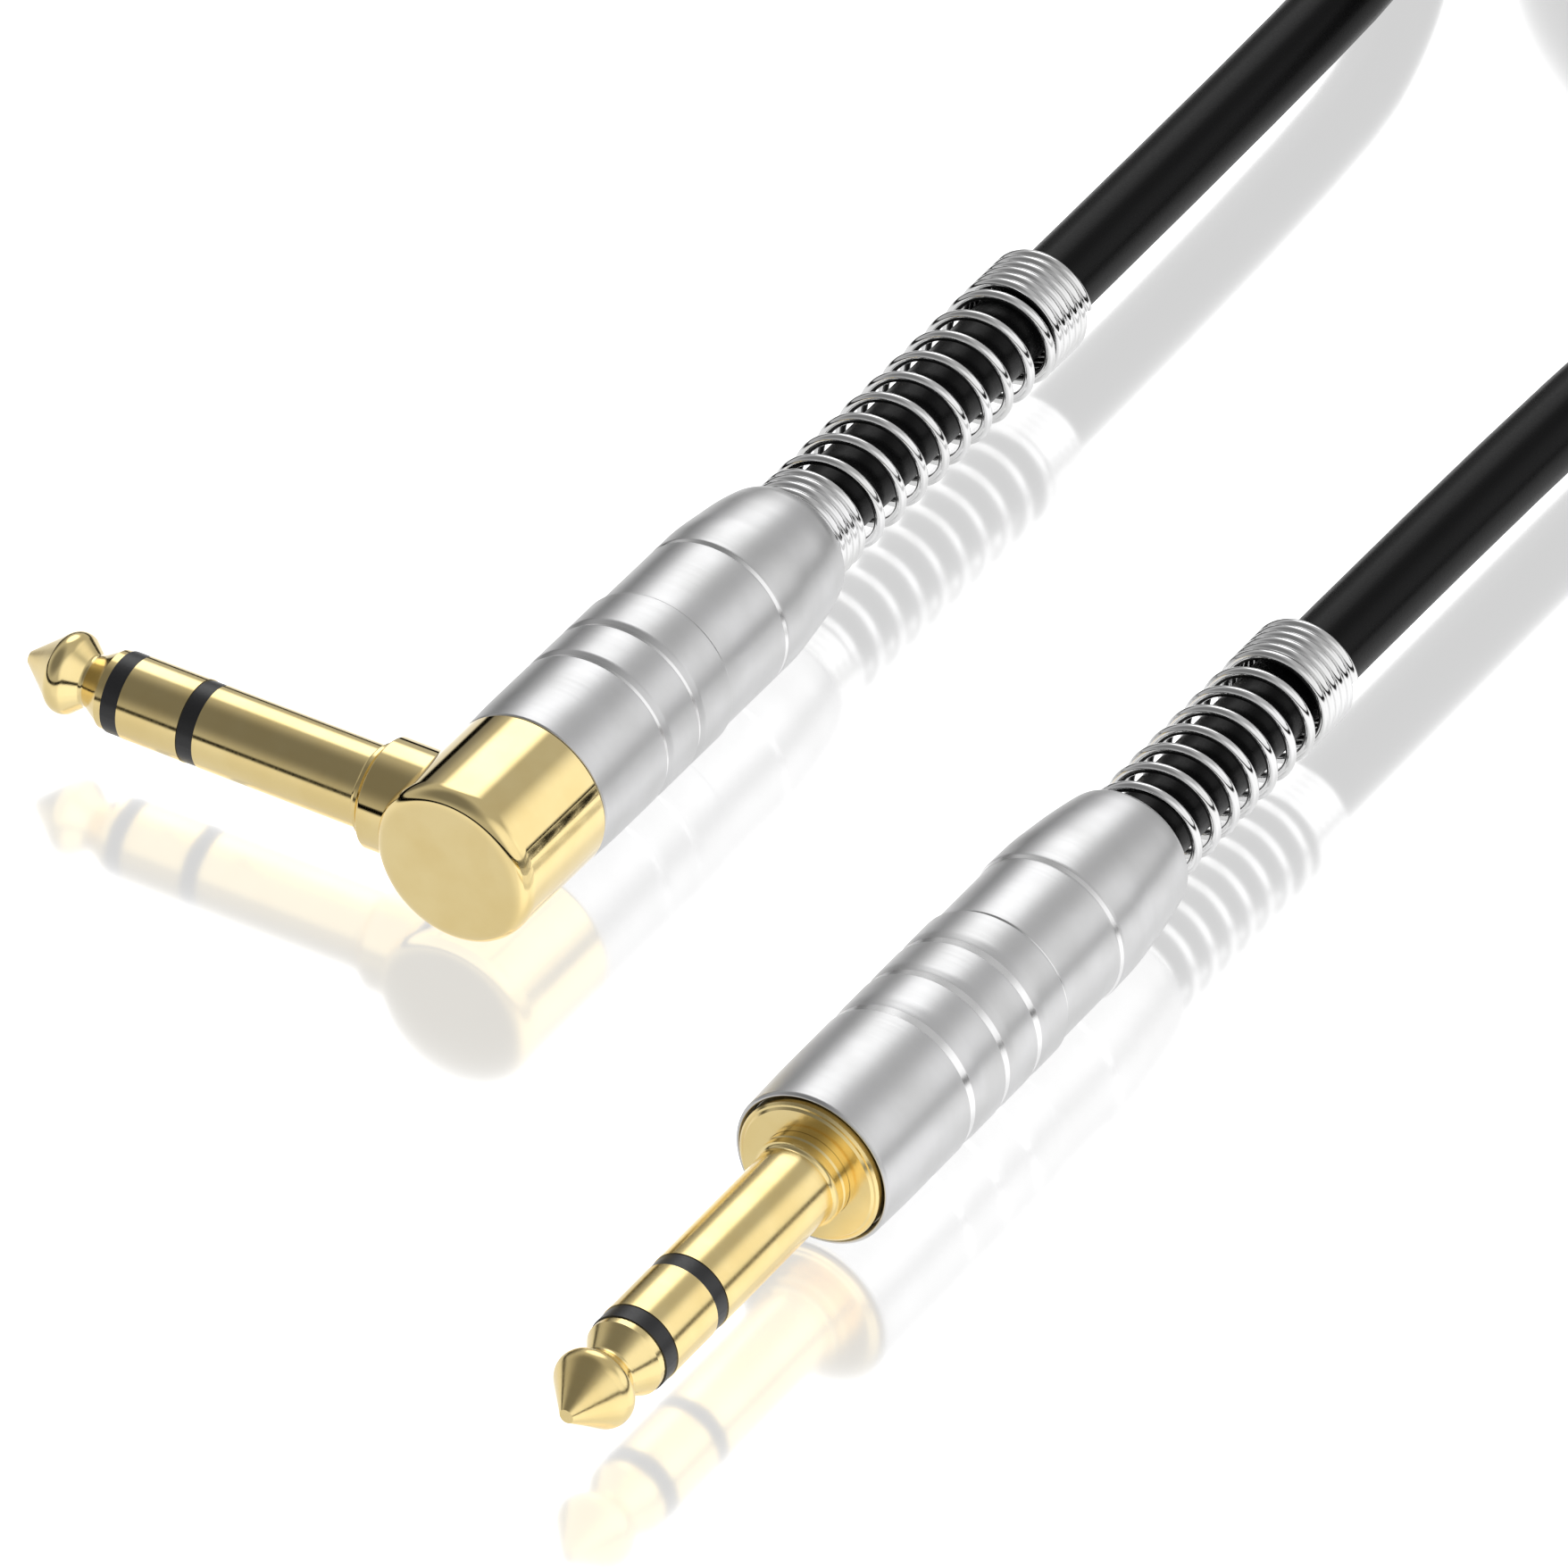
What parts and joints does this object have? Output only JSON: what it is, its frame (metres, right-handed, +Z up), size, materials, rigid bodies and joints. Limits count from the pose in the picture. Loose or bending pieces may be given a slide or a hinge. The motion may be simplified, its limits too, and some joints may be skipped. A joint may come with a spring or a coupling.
{
  "type": "instrument cable",
  "caption": "Black instrument cable with a straight and a right-angle gold phone plug, screw-on satin shells and coil-spring strain reliefs, its spare length in a tied coil.",
  "frame": {"origin": "on the surface that the plugs lie on, under the middle of the box round the two plugs", "axes": "+Y along both shells from the pins towards the springs and the cord, +Z up; the straight pin points to -Y and the right-angle pin to -X"},
  "size_m": [0.1123, 0.2972, 0.0264],
  "materials": {
    "gold_plate": "polished pale gold plate on brass",
    "black_insulator": "moulded, faintly grainy",
    "tinned_brass": "tin-plated, stamped",
    "solder": "bright frozen solder",
    "copper_shield": "twisted bare copper strands",
    "red_core": "smooth insulated core",
    "white_core": "smooth insulated core",
    "clear_tube": "translucent flexible sleeve",
    "satin_nickel": "satin nickel plate, finely turned",
    "bright_spring": "bright nickel-plated spring wire",
    "cord_jacket": "smooth satin jacket",
    "hook_tie": "woven hook-and-loop strap"
  },
  "bodies": {
    "cable": {"angle_elbow_housing": "gold_plate", "angle_ground_clamp": "tinned_brass", "angle_ring_contact": "gold_plate", "angle_ring_core": "white_core", "angle_ring_insulator": "black_insulator", "angle_ring_lug": "tinned_brass", "angle_shield_tail": "copper_shield", "angle_sleeve_contact": "gold_plate", "angle_solder_joints": "solder", "angle_tip_contact": "gold_plate", "angle_tip_core": "red_core", "angle_tip_insulator": "black_insulator", "angle_tip_lug": "tinned_brass", "angle_washers": "black_insulator", "coil_tie": "hook_tie", "cord_coil": "cord_jacket", "cord_from_angle": "cord_jacket", "cord_from_straight": "cord_jacket", "straight_front_body": "gold_plate", "straight_ground_clamp": "tinned_brass", "straight_ring_contact": "gold_plate", "straight_ring_core": "white_core", "straight_ring_insulator": "black_insulator", "straight_ring_lug": "tinned_brass", "straight_shield_tail": "copper_shield", "straight_sleeve_contact": "gold_plate", "straight_solder_joints": "solder", "straight_tip_contact": "gold_plate", "straight_tip_core": "red_core", "straight_tip_insulator": "black_insulator", "straight_tip_lug": "tinned_brass", "straight_washers": "black_insulator"},
    "straight_tube": {"straight_insulating_tube": "clear_tube"},
    "straight_spring": {"straight_spring": "bright_spring"},
    "straight_shell": {"straight_shell": "satin_nickel"},
    "angle_tube": {"angle_insulating_tube": "clear_tube"},
    "angle_spring": {"angle_spring": "bright_spring"},
    "angle_shell": {"angle_shell": "satin_nickel"}
  },
  "joints": [
    {"name": "straight_pull_back", "type": "slide", "parent": "cable", "child": "straight_tube", "axis": [0, 1, 0], "range_m": [0, 0.03]},
    {"name": "straight_back_off", "type": "slide", "parent": "straight_tube", "child": "straight_spring", "axis": [0, 1, 0], "range_m": [0, 0.006]},
    {"name": "straight_shell_turn", "type": "hinge", "parent": "straight_spring", "child": "straight_shell", "pos_m": [0.036, -0.02, 0.00633], "axis": [0, 1, 0], "range_deg": [0, 2160]},
    {"name": "angle_pull_back", "type": "slide", "parent": "cable", "child": "angle_tube", "axis": [0, 1, 0], "range_m": [0, 0.03]},
    {"name": "angle_back_off", "type": "slide", "parent": "angle_tube", "child": "angle_spring", "axis": [0, 1, 0], "range_m": [0, 0.006]},
    {"name": "angle_shell_turn", "type": "hinge", "parent": "angle_spring", "child": "angle_shell", "pos_m": [-0.0034, 0, 0.00657], "axis": [0, 1, 0], "range_deg": [0, 2160]}
  ],
  "couplings": [
    {"joint": "straight_back_off", "follows": "straight_shell_turn", "m_per_rad": 0.00015915},
    {"joint": "angle_back_off", "follows": "angle_shell_turn", "m_per_rad": 0.00015915}
  ]
}
